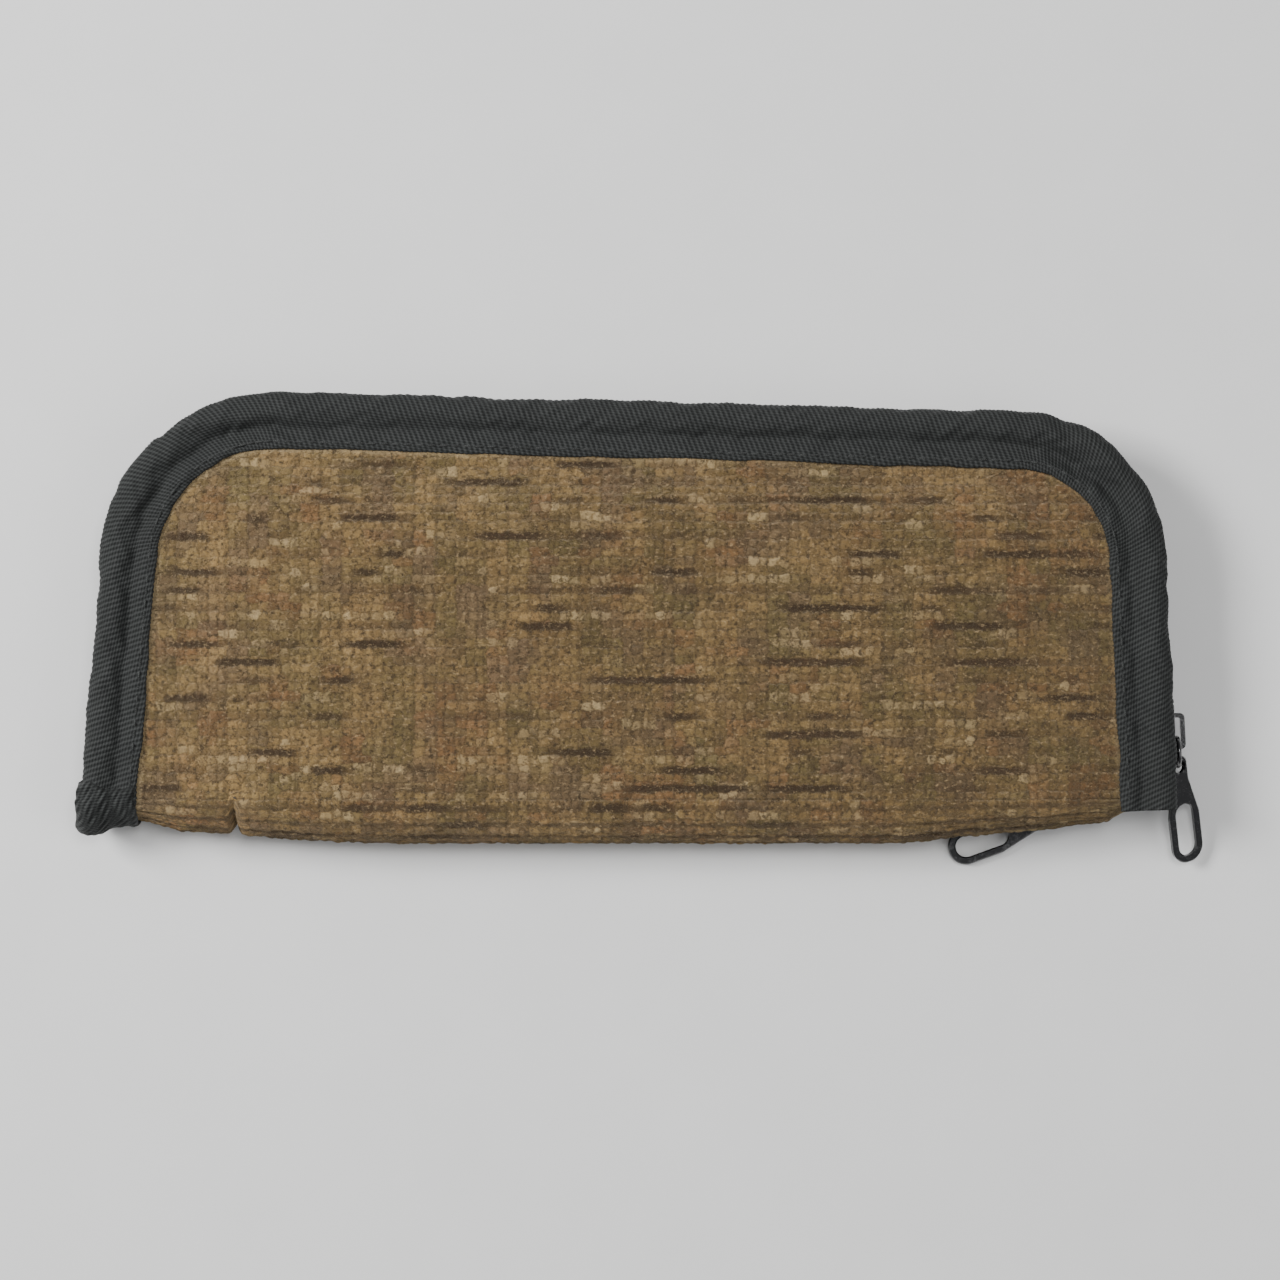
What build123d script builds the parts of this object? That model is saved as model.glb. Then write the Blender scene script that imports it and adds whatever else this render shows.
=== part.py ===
from build123d import *
import math
import os

# A small soft clamshell case: two padded fabric panels joined by a fold along -Y, edged with
# twill binding, and closed round the other three sides by a two-slider coil zipper.
# X is the length, Y the width (the fold is at -Y), Z the thickness; z = 0 is the flat underside.

# Driving dimensions, mm
THICKNESS = 20.0
FOLD_Y = -49.5  # outermost line of the fold, which is also the hinge line
MID_Z = THICKNESS / 2
SPINE_Y = FOLD_Y + MID_Z  # where the panels end and the round of the fold begins
LEFT_FOOT = (-119.6, -49.5)  # corners of the outline before rounding
LEFT_TOP = (-111.1, 50.0)
RIGHT_TOP = (116.2, 44.0)
RIGHT_FOOT = (120.6, -49.5)
LEFT_RADIUS = 38.0
RIGHT_RADIUS = 33.0
BELOW = -80.0  # the outline runs on past the fold and is cut off there

TAPE_WRAP = 0.7  # thickness of the binding tape
BINDING_WIDTH = 12.5
BINDING_END_RIGHT = -41.7
BACK_CORNER_Y = -34.0  # the back half is cut off here at its right end, for the zipper's tail
BACK_CORNER_X = 90.0
RIM_Z = (2.6, 5.8)  # bottom and top of the back half's bound edge
FABRIC = 1.0
LINING = 0.4
LINING_TOP = RIM_Z[1] - TAPE_WRAP
# how the underside rises from the flat middle to the rim: inset in x, inset in y, z
DISH = [
    (60.0, 34.0, 0.0),
    (45.0, 27.0, 0.9),
    (30.0, 20.0, 2.1),
    (13.0, 13.0, RIM_Z[0] + TAPE_WRAP),
]

SPINE_END_X = 84.0  # the fold is slit beyond this, for the zipper's tail
SPINE_TUCK = 2.7  # z of the fold's underside at that end

# zipper: the chain stands on edge just inside the bound edges
COIL_DEPTH = 2.4
COIL_HEIGHT = 2.35  # of each side's coil
COIL_GAP = 1.2  # between the two coils
COIL_INSET = 1.2
ZIP_TAPE = 0.5
TAPE_INSET = COIL_INSET + COIL_DEPTH
CHAIN_INSET = COIL_INSET + COIL_DEPTH / 2
FRONT_CHAIN_END_Y = -14.0  # the front half's chain ends above the parked slider

# slider, about the chain's centre line: x along the chain, y across it, z outwards
SLIDER_LENGTH = 11.4
SLIDER_WIDTH = 8.0
OUTER_PLATE = (1.4, 2.6)
INNER_PLATE = (-3.1, -2.0)
INNER_PLATE_WIDTH = 7.0
LIP_IN = 3.15
LIP_REACH = -1.0
POST_WIDTH = 0.9
CROWN_LENGTH = 8.0
CROWN_X = -1.5
CROWN_WIDTH = 1.4
CROWN_BAR = 1.0
CROWN_GAP = 1.6

# link between the crown and the pull
LINK_RADIUS = 3.1
LINK_WIRE = 1.0
LINK_SEAT_X = -2.9
LINK_SEAT_Z = 3.4

# pull: a flat paddle with an eye at its narrow end and a finger hole at its wide end
PULL_LENGTH = 25.0
PULL_WIDTH = 7.8
PULL_NECK = 4.0
PULL_THICKNESS = 1.3
EYE_WIDTH = 2.3
EYE_LENGTH = 3.2
EYE_RIM = 0.85
EYE_ROUND = 1.9  # corner radius at the eye's end
TIP_ROUND = 3.7
HOLE_WIDTH = 4.6
HOLE_LENGTH = 12.0

SLIDER_A_Y = -23.5
SLIDER_B = (100.5, -39.5, 5.4)
SLIDER_B_YAW = 9.0  # the tail and its slider turn outwards
LINK_B_HANG = 24.0  # degrees below level
PULL_A_DROOP = 18.0
PULL_A_YAW = 6.0  # outwards from the edge
PULL_A_ROLL = 25.0  # its outer side hangs lower
PULL_B_DROOP = 4.0
PULL_B_YAW = 20.0  # outwards from the fold

os.makedirs("parts", exist_ok=True)


def save(shape, name):
    export_step(shape, f"parts/{name}.step")


def plan(dx, dy=None):
    """The outline moved inwards, as a face that runs on past the fold."""
    dy = dx if dy is None else dy
    slope = (LEFT_TOP[0] - LEFT_FOOT[0]) / (LEFT_TOP[1] - LEFT_FOOT[1])
    low_left = LEFT_FOOT[0] + slope * (BELOW - LEFT_FOOT[1])
    slope = (RIGHT_TOP[0] - RIGHT_FOOT[0]) / (RIGHT_TOP[1] - RIGHT_FOOT[1])
    low_right = RIGHT_FOOT[0] + slope * (BELOW - RIGHT_FOOT[1])
    corners = [
        (low_left + dx, BELOW),
        (LEFT_TOP[0] + dx, LEFT_TOP[1] - dy),
        (RIGHT_TOP[0] - dx, RIGHT_TOP[1] - dy),
        (low_right - dx, BELOW),
    ]
    shrink = min(dy, 28.0)
    radii = [0, LEFT_RADIUS - shrink, RIGHT_RADIUS - shrink, 0]
    return make_face(FilletPolyline(*corners, radius=radii, close=True))


def slab(inset, low, high):
    return extrude(Pos(0, 0, low) * plan(inset), high - low)


def keep(shape, x=(-200, 200), y=(SPINE_Y, 100), z=(-50, 50)):
    """The part of a shape inside a box."""
    size = (x[1] - x[0], y[1] - y[0], z[1] - z[0])
    middle = ((x[0] + x[1]) / 2, (y[0] + y[1]) / 2, (z[0] + z[1]) / 2)
    return shape & (Pos(*middle) * Box(*size))


def to_front(shape):
    """The same piece on the front half."""
    return mirror(shape, about=Plane.XY.offset(MID_Z))


def above_dish(lift):
    """Everything inside a panel above its dished outer face, raised by lift."""
    faces = [Pos(0, 0, z + lift) * plan(dx, dy) for dx, dy, z in DISH]
    dish = loft(faces, ruled=True)
    rim = slab(TAPE_WRAP + 0.1, DISH[-1][2] + lift, LINING_TOP)
    top = slab(DISH[-1][0], DISH[-1][2] + lift, LINING_TOP)
    return dish + rim + top


# Panels
corner_size = (125.0 - BACK_CORNER_X, BACK_CORNER_Y - SPINE_Y + 5.0, MID_Z)
corner_middle = ((125.0 + BACK_CORNER_X) / 2, (BACK_CORNER_Y + SPINE_Y - 5.0) / 2, MID_Z / 2)
back_corner = Pos(*corner_middle) * Box(*corner_size)

outer = above_dish(0.0)
inner = above_dish(FABRIC)
fabric = keep(outer - inner)
foam = keep(inner, z=(-10, LINING_TOP - LINING))
lining = keep(slab(TAPE_WRAP + 0.1, LINING_TOP - LINING, LINING_TOP))

save(fabric - back_corner, "back_outer_fabric")
save(foam - back_corner, "back_foam")
save(lining - back_corner, "back_lining")
save(to_front(fabric), "front_outer_fabric")
save(to_front(foam), "front_foam")
save(to_front(lining), "front_lining")

# Bindings: a channel of tape folded over the panel's edge, ending short of the fold
channel = slab(0, *RIM_Z) - slab(BINDING_WIDTH, RIM_Z[0] - 1, RIM_Z[1] + 1)
channel -= slab(TAPE_WRAP, RIM_Z[0] + TAPE_WRAP, RIM_Z[1] - TAPE_WRAP)
left_arm = keep(channel, x=(-200, 0))
right_arm = keep(channel, x=(0, 200), y=(BINDING_END_RIGHT, 100))
binding = left_arm + right_arm
save(binding - back_corner, "back_binding")
save(to_front(binding), "front_binding")


# Fold: each layer is turned half round the fold's middle line
def edge_x(y, right):
    """X of the outline's side at y."""
    top, foot = (RIGHT_TOP, RIGHT_FOOT) if right else (LEFT_TOP, LEFT_FOOT)
    return foot[0] + (top[0] - foot[0]) * (y - foot[1]) / (top[1] - foot[1])


LEFT_X = edge_x(SPINE_Y, False)
RIGHT_X = edge_x(SPINE_Y, True)


def turned(points):
    """A profile of (x, z) under the middle line, turned half round it through the fold."""
    face = make_face(Polyline(*[(x, SPINE_Y, z) for x, z in points], close=True))
    axis = Axis((0, SPINE_Y, MID_Z), (1, 0, 0))
    half = revolve(face, axis, 180)
    if half.center().Y > SPINE_Y:
        half = revolve(face, axis, -180)
    return half


def fold_underside(lift):
    """The dish's outer face along the fold, from the left edge to the slit end."""
    rise = [(LEFT_X + dx, z + lift) for dx, dy, z in reversed(DISH)]
    fall = [(RIGHT_X - dx, z + lift) for dx, dy, z in DISH[:2]]
    start = [(LEFT_X + TAPE_WRAP + 0.1, DISH[-1][2] + lift)]
    return start + rise + fall + [(SPINE_END_X, SPINE_TUCK + lift)]


def fold_layer(low, high):
    return turned(low + list(reversed(high)))


def flat_fold(z):
    return [(LEFT_X + TAPE_WRAP + 0.1, z), (SPINE_END_X, z)]


save(fold_layer(fold_underside(0), fold_underside(FABRIC)), "fold_outer_fabric")
save(fold_layer(fold_underside(FABRIC), flat_fold(LINING_TOP - LINING)), "fold_foam")
save(fold_layer(flat_fold(LINING_TOP - LINING), flat_fold(LINING_TOP)), "fold_lining")

end_channel = [
    (LEFT_X, RIM_Z[0]),
    (LEFT_X + BINDING_WIDTH, RIM_Z[0]),
    (LEFT_X + BINDING_WIDTH, RIM_Z[0] + TAPE_WRAP),
    (LEFT_X + TAPE_WRAP, RIM_Z[0] + TAPE_WRAP),
    (LEFT_X + TAPE_WRAP, RIM_Z[1] - TAPE_WRAP),
    (LEFT_X + BINDING_WIDTH, RIM_Z[1] - TAPE_WRAP),
    (LEFT_X + BINDING_WIDTH, RIM_Z[1]),
    (LEFT_X, RIM_Z[1]),
]
save(turned(end_channel), "left_end_binding")

# Zipper: each half's tape lies against its binding, then turns up to carry the coil
coil_low = MID_Z - COIL_GAP / 2 - COIL_HEIGHT
coil_high = MID_Z - COIL_GAP / 2
tape = slab(TAPE_INSET, RIM_Z[1], RIM_Z[1] + ZIP_TAPE)
tape -= slab(BINDING_WIDTH, 0, MID_Z)
upright = slab(TAPE_INSET, RIM_Z[1], coil_high) - slab(TAPE_INSET + ZIP_TAPE, 0, MID_Z)
tape = tape + upright
coil = slab(COIL_INSET, coil_low, coil_high) - slab(TAPE_INSET, 0, MID_Z)

LEFT_STOP_Y = SPINE_Y + 3.0
TAIL_TOP_Y = -33.0


def zip_side(shape, left_y, right_y):
    """A zipper piece cut to where its left and right ends stop."""
    left = keep(shape, x=(-200, 0), y=(left_y, 100))
    return left + keep(shape, x=(0, 200), y=(right_y, 100))


save(zip_side(tape, SPINE_Y, TAIL_TOP_Y), "back_zipper_tape")
save(zip_side(coil, LEFT_STOP_Y, TAIL_TOP_Y), "back_zipper_coil")
save(to_front(zip_side(tape, SPINE_Y, FRONT_CHAIN_END_Y)), "front_zipper_tape")
save(to_front(zip_side(coil, LEFT_STOP_Y, FRONT_CHAIN_END_Y)), "front_zipper_coil")

# Zipper's tail, about slider B's centre: x towards the corner, y up, z away from the case.
# It turns the corner, drops towards the table and ends in a stop at the slider's mouth.
turn = math.radians(SLIDER_B_YAW)
b_run = (math.cos(turn), math.sin(turn), 0)
b_out = (math.sin(turn), -math.cos(turn), 0)
b_place = Plane(origin=SLIDER_B, x_dir=b_run, z_dir=b_out).location
TAIL_END = -5.5
TAIL_TURN = 11.8
TAIL_RIGHT = 14.0
TAIL_SIDE = 3.5
tail_top = coil_high - SLIDER_B[2]
tail_outline = [
    (TAIL_END, -TAIL_SIDE),
    (TAIL_TURN, -TAIL_SIDE),
    (TAIL_TURN, -COIL_GAP / 2),
    (TAIL_END + 1.2, -COIL_GAP / 2),
    (TAIL_END + 1.2, COIL_GAP / 2),
    (TAIL_RIGHT, COIL_GAP / 2),
    (TAIL_RIGHT, tail_top),
    (TAIL_TURN, tail_top),
    (TAIL_TURN, TAIL_SIDE),
    (TAIL_END, TAIL_SIDE),
]
tail = make_face(Polyline(*tail_outline, close=True))
tail = extrude(Pos(0, 0, -COIL_DEPTH / 2 - ZIP_TAPE) * tail, ZIP_TAPE)
save(b_place * tail, "zipper_tail_tape")

strand = Box(TAIL_TURN - TAIL_END, COIL_HEIGHT, COIL_DEPTH)
strand_x = (TAIL_TURN + TAIL_END) / 2
strand_y = (COIL_GAP + COIL_HEIGHT) / 2
save(b_place * Pos(strand_x, -strand_y, 0) * strand, "zipper_tail_coil_lower")
save(b_place * Pos(strand_x, strand_y, 0) * strand, "zipper_tail_coil_upper")

# the stretch of tape round the corner, from the right edge to the tail
tape_end_x = edge_x(TAIL_TOP_Y, True) - TAPE_INSET
tail_back = (b_place * Pos(TAIL_RIGHT, 0, -COIL_DEPTH / 2 - ZIP_TAPE)).position
corner_tape = Polyline(
    (tape_end_x, TAIL_TOP_Y),
    (tail_back.X, tail_back.Y),
    (tail_back.X - ZIP_TAPE, tail_back.Y),
    (tape_end_x - ZIP_TAPE, TAIL_TOP_Y),
    close=True,
)
corner_low = RIM_Z[1] + ZIP_TAPE
corner_tape = Pos(0, 0, corner_low) * make_face(corner_tape)
save(extrude(corner_tape, coil_high - corner_low), "zipper_corner_tape")

# End stops
CHAIN_WIDTH = 2 * COIL_HEIGHT + COIL_GAP
right_stop = Box(0.8, CHAIN_WIDTH, COIL_DEPTH)
save(b_place * Pos(TAIL_END - 0.4, 0, 0) * right_stop, "zipper_right_stop")
left_chain_x = edge_x(SPINE_Y + 1.5, False) + CHAIN_INSET
left_stop = Box(COIL_DEPTH, 2.6, CHAIN_WIDTH)
left_stop = fillet(left_stop.edges().filter_by(Axis.Z), 0.4)
save(Pos(left_chain_x, SPINE_Y + 1.5, MID_Z) * left_stop, "zipper_left_stop")


# Sliders
def shield(width, low, high):
    """A plate that narrows towards the pull's end."""
    outline = Polyline(
        (-SLIDER_LENGTH / 2, -2.7),
        (-1.0, -width / 2),
        (SLIDER_LENGTH / 2, -width / 2),
        (SLIDER_LENGTH / 2, width / 2),
        (-1.0, width / 2),
        (-SLIDER_LENGTH / 2, 2.7),
        close=True,
    )
    face = make_face(outline)
    return extrude(Pos(0, 0, low) * fillet(face.vertices(), 1.2), high - low)


def slider_body():
    """Two plates joined by a post, with lips that hold the coils and a crown for the link."""
    body = shield(SLIDER_WIDTH, *OUTER_PLATE) + shield(INNER_PLATE_WIDTH, *INNER_PLATE)
    post_height = OUTER_PLATE[0] - INNER_PLATE[1] + 1.0
    post_z = (OUTER_PLATE[0] + INNER_PLATE[1]) / 2
    body += Pos(3.6, 0, post_z) * Box(2.6, POST_WIDTH, post_height)
    lip_width = SLIDER_WIDTH / 2 - LIP_IN
    lip_height = OUTER_PLATE[0] - LIP_REACH + 0.5
    lip_z = LIP_REACH + lip_height / 2
    for side in (-1, 1):
        lip_y = side * (LIP_IN + lip_width / 2)
        body += Pos(1.9, lip_y, lip_z) * Box(5.4, lip_width, lip_height)
    return body + crown()


def crown():
    """A bridge along the slider that leaves a gap for the link's wire."""
    top = OUTER_PLATE[1] + CROWN_GAP + CROWN_BAR
    height = top - OUTER_PLATE[1] + 0.4
    block = Box(CROWN_LENGTH, CROWN_WIDTH, height)
    block = fillet(block.edges().filter_by(Axis.Y).group_by(Axis.Z)[-1], 1.2)
    gap_length = CROWN_LENGTH - 2 * CROWN_BAR
    gap = Box(gap_length, CROWN_WIDTH + 1, CROWN_GAP + 0.4)
    gap = fillet(gap.edges().filter_by(Axis.Y).group_by(Axis.Z)[-1], 0.5)
    block = Pos(CROWN_X, 0, top - height / 2) * block
    gap = Pos(CROWN_X, 0, OUTER_PLATE[1] + CROWN_GAP / 2 - 0.2) * gap
    foot = Pos(CROWN_X, 0, OUTER_PLATE[1] - 0.2) * Box(CROWN_LENGTH, CROWN_WIDTH, 0.4)
    return block - gap + foot


def link():
    """A closed ring, its near side at the origin and its far side at -x."""
    return Pos(-LINK_RADIUS, 0, 0) * Torus(LINK_RADIUS, LINK_WIRE / 2)


def pull():
    """A flat paddle along -x, its eye at the origin."""
    eye_end = EYE_LENGTH / 2 + EYE_RIM
    tip = eye_end - PULL_LENGTH
    outline = Polyline(
        (eye_end, -PULL_NECK / 2),
        (eye_end, PULL_NECK / 2),
        (-EYE_LENGTH, PULL_NECK / 2),
        (tip + 11.0, PULL_WIDTH / 2),
        (tip, PULL_WIDTH / 2),
        (tip, -PULL_WIDTH / 2),
        (tip + 11.0, -PULL_WIDTH / 2),
        (-EYE_LENGTH, -PULL_NECK / 2),
        close=True,
    )
    plate = make_face(outline)
    plate = fillet(plate.vertices().group_by(Axis.X)[-1], EYE_ROUND)
    plate = fillet(plate.vertices().group_by(Axis.X)[0], TIP_ROUND)
    shoulders = [v for v in plate.vertices() if tip + 10.0 < v.X < -EYE_LENGTH + 0.1]
    plate = fillet(shoulders, 1.0)
    plate -= SlotOverall(EYE_LENGTH, EYE_WIDTH)
    hole_x = tip + 1.6 + HOLE_LENGTH / 2
    plate -= Pos(hole_x, 0) * SlotOverall(HOLE_LENGTH, HOLE_WIDTH)
    solid = extrude(plate, PULL_THICKNESS / 2, both=True)
    outer_edges = solid.edges().group_by(Axis.Z)
    return chamfer(outer_edges[0] + outer_edges[-1], 0.25)


# Slider A stands on the right edge: its x runs up the edge and its z points outwards
side = Vector(RIGHT_TOP[0] - RIGHT_FOOT[0], RIGHT_TOP[1] - RIGHT_FOOT[1], 0).normalized()
outward = Vector(side.Y, -side.X, 0)
a_centre = Vector(edge_x(SLIDER_A_Y, True), SLIDER_A_Y, MID_Z) - outward * CHAIN_INSET
a_place = Plane(origin=a_centre, x_dir=side, z_dir=outward).location
save(a_place * slider_body(), "slider_a_body")
a_seat = a_place * Pos(LINK_SEAT_X, 0, LINK_SEAT_Z)
save(a_seat * link(), "slider_a_link")
a_eye = (a_seat * Pos(-2 * LINK_RADIUS, 0, 0)).position

a_yaw = math.radians(PULL_A_YAW)
droop = math.radians(PULL_A_DROOP)
a_flat = side * math.cos(a_yaw) - outward * math.sin(a_yaw)
a_axis = outward * math.cos(a_yaw) + side * math.sin(a_yaw)
a_along = a_flat * math.cos(droop) + Vector(0, 0, math.sin(droop))
a_level = Plane(origin=a_eye, x_dir=a_along, z_dir=a_axis.cross(a_along)).location
save(a_level * Rot(PULL_A_ROLL, 0, 0) * pull(), "slider_a_pull")

# Slider B stands on the tail, with its link hanging
save(b_place * slider_body(), "slider_b_body")
b_seat = b_place * Pos(LINK_SEAT_X, 0, LINK_SEAT_Z) * Rot(0, 0, LINK_B_HANG)
save(b_seat * link(), "slider_b_link")
b_eye = (b_seat * Pos(-2 * LINK_RADIUS, 0, 0)).position
b_yaw = math.radians(PULL_B_YAW)
tilt = math.radians(PULL_B_DROOP)
b_level = Vector(-math.sin(b_yaw), math.cos(b_yaw), 0)
b_flat = Vector(math.cos(b_yaw), math.sin(b_yaw), 0)
b_along = b_flat * math.cos(tilt) + Vector(0, 0, math.sin(tilt))
b_pull_place = Plane(origin=b_eye, x_dir=b_along, z_dir=b_along.cross(b_level)).location
save(b_pull_place * pull(), "slider_b_pull")

for name, place in [("link A seat", a_seat), ("link B seat", b_seat)]:
    print(name, place.position)
print("pull A eye", a_eye, "along", a_along, "axis", a_axis)
print("pull B eye", b_eye, "along", b_along, "axis", b_level)
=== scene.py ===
import math

import bpy
import numpy as np
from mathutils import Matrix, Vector


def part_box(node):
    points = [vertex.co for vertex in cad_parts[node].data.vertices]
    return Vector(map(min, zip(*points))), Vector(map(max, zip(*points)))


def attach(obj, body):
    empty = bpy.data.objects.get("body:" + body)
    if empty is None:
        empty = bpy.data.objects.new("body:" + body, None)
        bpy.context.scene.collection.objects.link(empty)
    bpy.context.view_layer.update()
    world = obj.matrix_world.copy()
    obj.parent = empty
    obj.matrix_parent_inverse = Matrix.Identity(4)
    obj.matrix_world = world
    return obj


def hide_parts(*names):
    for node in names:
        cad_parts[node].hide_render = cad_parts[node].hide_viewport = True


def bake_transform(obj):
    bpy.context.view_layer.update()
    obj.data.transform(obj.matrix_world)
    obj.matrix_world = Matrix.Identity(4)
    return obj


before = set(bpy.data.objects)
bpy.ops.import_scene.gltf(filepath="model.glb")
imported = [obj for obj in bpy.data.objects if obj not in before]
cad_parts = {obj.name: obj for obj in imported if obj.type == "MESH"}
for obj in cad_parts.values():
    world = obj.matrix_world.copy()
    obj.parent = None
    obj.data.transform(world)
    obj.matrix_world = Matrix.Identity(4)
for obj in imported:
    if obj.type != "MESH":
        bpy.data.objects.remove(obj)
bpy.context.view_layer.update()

MM = 0.001

# The case's outline and heights, mm, as the CAD has them
MID_Z = 10.0
SPINE_Y = -39.5
LEFT_FOOT, LEFT_TOP = (-119.6, -49.5), (-111.1, 50.0)
RIGHT_TOP, RIGHT_FOOT = (116.2, 44.0), (120.6, -49.5)
LEFT_RADIUS, RIGHT_RADIUS = 38.0, 33.0
RIM_LOW, RIM_HIGH = 2.6, 5.8  # the back half's bound edge
RIM_MIDDLE = (RIM_LOW + RIM_HIGH) / 2
LINING_Z = 4.9
BINDING = 12.6  # width of the binding's outer leg
BINDING_END_RIGHT = -41.7
SLIT_X = 84.0  # the fold is slit beyond this, for the zipper's tail
PILE = 0.42  # the pile's mean height above the bare cloth
COIL_DEPTH = 2.3
COIL_WIRE = 0.33  # radius of the coil's wire

# The chenille's weave, mm
ROW = 3.9  # from row to row
TUFT = 2.25  # from tuft to tuft along a row
WARP = 5.1  # between the warp's fine lines
GRID = 0.52  # spacing of the panels' mesh


# ---------------------------------------------------------------- small tools
def smooth(t):
    t = np.clip(t, 0.0, 1.0)
    return t * t * (3.0 - 2.0 * t)


def hashed(*cells):
    """A repeatable value from 0 to 1 for each whole-number cell."""
    h = np.zeros(np.broadcast(*cells).shape)
    for k, c in enumerate(cells):
        h = h + np.asarray(c, float) * (12.9898 + 65.233 * k)
    h = np.sin(h) * 43758.5453
    return h - np.floor(h)


def noise(x, y, seed=0):
    """Smooth value noise, about -1 to 1, one bump per unit."""
    ix, iy = np.floor(x), np.floor(y)
    fx, fy = smooth(x - ix), smooth(y - iy)
    a = hashed(ix, iy, seed + 0 * ix)
    b = hashed(ix + 1, iy, seed + 0 * ix)
    c = hashed(ix, iy + 1, seed + 0 * ix)
    d = hashed(ix + 1, iy + 1, seed + 0 * ix)
    return 2.0 * ((a * (1 - fx) + b * fx) * (1 - fy) + (c * (1 - fx) + d * fx) * fy) - 1.0


def mesh_piece(name, points, faces, material, body=None, stands_for=(), sharp=False):
    """A piece from points in mm; it rides on its body and stands for its CAD nodes."""
    mesh = bpy.data.meshes.new(name)
    mesh.from_pydata((np.asarray(points, float) * MM).tolist(), [], faces)
    mesh.update()
    piece = bpy.data.objects.new(name, mesh)
    bpy.context.collection.objects.link(piece)
    piece.data.materials.append(material)
    if not sharp:
        for polygon in mesh.polygons:
            polygon.use_smooth = True
    if body:
        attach(piece, body)
    if stands_for:
        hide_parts(*stands_for)
    return piece


def grid_faces(rows, columns, first=0, loop=False, flip=False):
    """Quads of a grid of points stored row by row; loop joins the last column to the first."""
    faces = []
    across = columns if loop else columns - 1
    for i in range(rows - 1):
        for j in range(across):
            a = first + i * columns + j
            b = first + i * columns + (j + 1) % columns
            quad = (a, b, b + columns, a + columns)
            faces.append(quad[::-1] if flip else quad)
    return faces


def store(piece, name, values):
    """Keeps a vector per vertex on the mesh, for its material to read."""
    layer = piece.data.attributes.new(name, "FLOAT_VECTOR", "POINT")
    flat = np.zeros((len(piece.data.vertices), 3), np.float32)
    flat[:, : values.shape[1]] = values
    layer.data.foreach_set("vector", flat.ravel())


# ---------------------------------------------------------------- outline
def side_x(y, right):
    """Where the straight side edge is at this y."""
    top, foot = (RIGHT_TOP, RIGHT_FOOT) if right else (LEFT_TOP, LEFT_FOOT)
    return foot[0] + (top[0] - foot[0]) * (y - foot[1]) / (top[1] - foot[1])


def top_y(x):
    """Where the long top edge is at this x."""
    return RIGHT_TOP[1] + (LEFT_TOP[1] - RIGHT_TOP[1]) * (RIGHT_TOP[0] - x) / (
        RIGHT_TOP[0] - LEFT_TOP[0]
    )


def corner_arc(before, corner, after, radius):
    """Where a rounded corner starts, its centre, and its start and end angles."""
    corner = np.array(corner)
    a = np.array(before) - corner
    b = np.array(after) - corner
    a, b = a / np.linalg.norm(a), b / np.linalg.norm(b)
    half = math.acos(float(a @ b)) / 2
    middle = (a + b) / np.linalg.norm(a + b)
    centre = corner + middle * radius / math.sin(half)
    start = corner + a * radius / math.tan(half) - centre
    end = corner + b * radius / math.tan(half) - centre
    t0, t1 = math.atan2(start[1], start[0]), math.atan2(end[1], end[0])
    return centre, t0, t1 if t1 < t0 else t1 - 2 * math.pi


CORNERS = (
    (LEFT_FOOT, LEFT_TOP, RIGHT_TOP, LEFT_RADIUS),
    (LEFT_TOP, RIGHT_TOP, RIGHT_FOOT, RIGHT_RADIUS),
)


def outline(step, left_y, right_y):
    """Points and inward directions along the case's edge, from the left foot to the right one."""
    left_start = (side_x(left_y, False), left_y)
    right_end = (side_x(right_y, True), right_y)
    points = [np.array(left_start)]
    for before, corner, after, radius in CORNERS:
        centre, t0, t1 = corner_arc(before, corner, after, radius)
        for t in np.linspace(t0, t1, 40):
            points.append(centre + radius * np.array([math.cos(t), math.sin(t)]))
    points.append(np.array(right_end))
    points = np.array(points)
    run = np.concatenate([[0], np.cumsum(np.linalg.norm(np.diff(points, axis=0), axis=1))])
    s = np.linspace(0, run[-1], int(run[-1] / step) + 1)
    path = np.stack([np.interp(s, run, points[:, k]) for k in (0, 1)], axis=1)
    tangent = np.gradient(path, axis=0)
    kernel = np.ones(9) / 9  # evens out the directions where arcs meet straights
    padded = np.pad(tangent, ((4, 4), (0, 0)), mode="edge")
    tangent = np.stack([np.convolve(padded[:, k], kernel, "valid") for k in (0, 1)], axis=1)
    tangent /= np.linalg.norm(tangent, axis=1)[:, None]
    inward = np.stack([tangent[:, 1], -tangent[:, 0]], axis=1)
    return s, path, tangent, inward


def bend(s, total):
    """How much of a corner each place along the edge is in, 0 to 1."""
    left = np.exp(-(((s - 88.0) / 26.0) ** 2))
    right = np.exp(-(((s - (total - 82.0)) / 24.0) ** 2))
    return left + right


# ---------------------------------------------------------------- panel shape
def edge_inset(x, y):
    """How far a place is inside the case's rounded outline."""
    inset = np.minimum(x - side_x(y, False), side_x(y, True) - x)
    inset = np.minimum(inset, top_y(x) - y)
    for before, corner, after, radius in CORNERS:
        centre, _, _ = corner_arc(before, corner, after, radius)
        outer = (np.sign(corner[0]) * (x - centre[0]) > 0) & (y > centre[1])
        inset = np.where(outer, radius - np.hypot(x - centre[0], y - centre[1]), inset)
    return inset


def panel_height(x, y, lift=None):
    """Height of the padded outer face above z = 0, on the back half: the dish."""
    rim = RIM_LOW + 1.0
    inset = np.minimum(x - side_x(y, False), side_x(y, True) - x)
    along = np.clip((inset - BINDING) / 46.0, 0, 1)
    down = np.clip((top_y(x) - y - BINDING) / 23.0, 0, 1)
    near = np.clip((edge_inset(x, y) - BINDING) / 12.0, 0, 1)
    crown = (1 - (1 - along) ** 2.4) * (1 - (1 - down) ** 2.2) * (1 - (1 - near) ** 2)
    if lift is not None:
        crown = crown + lift
    return rim * (1 - crown)


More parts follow.
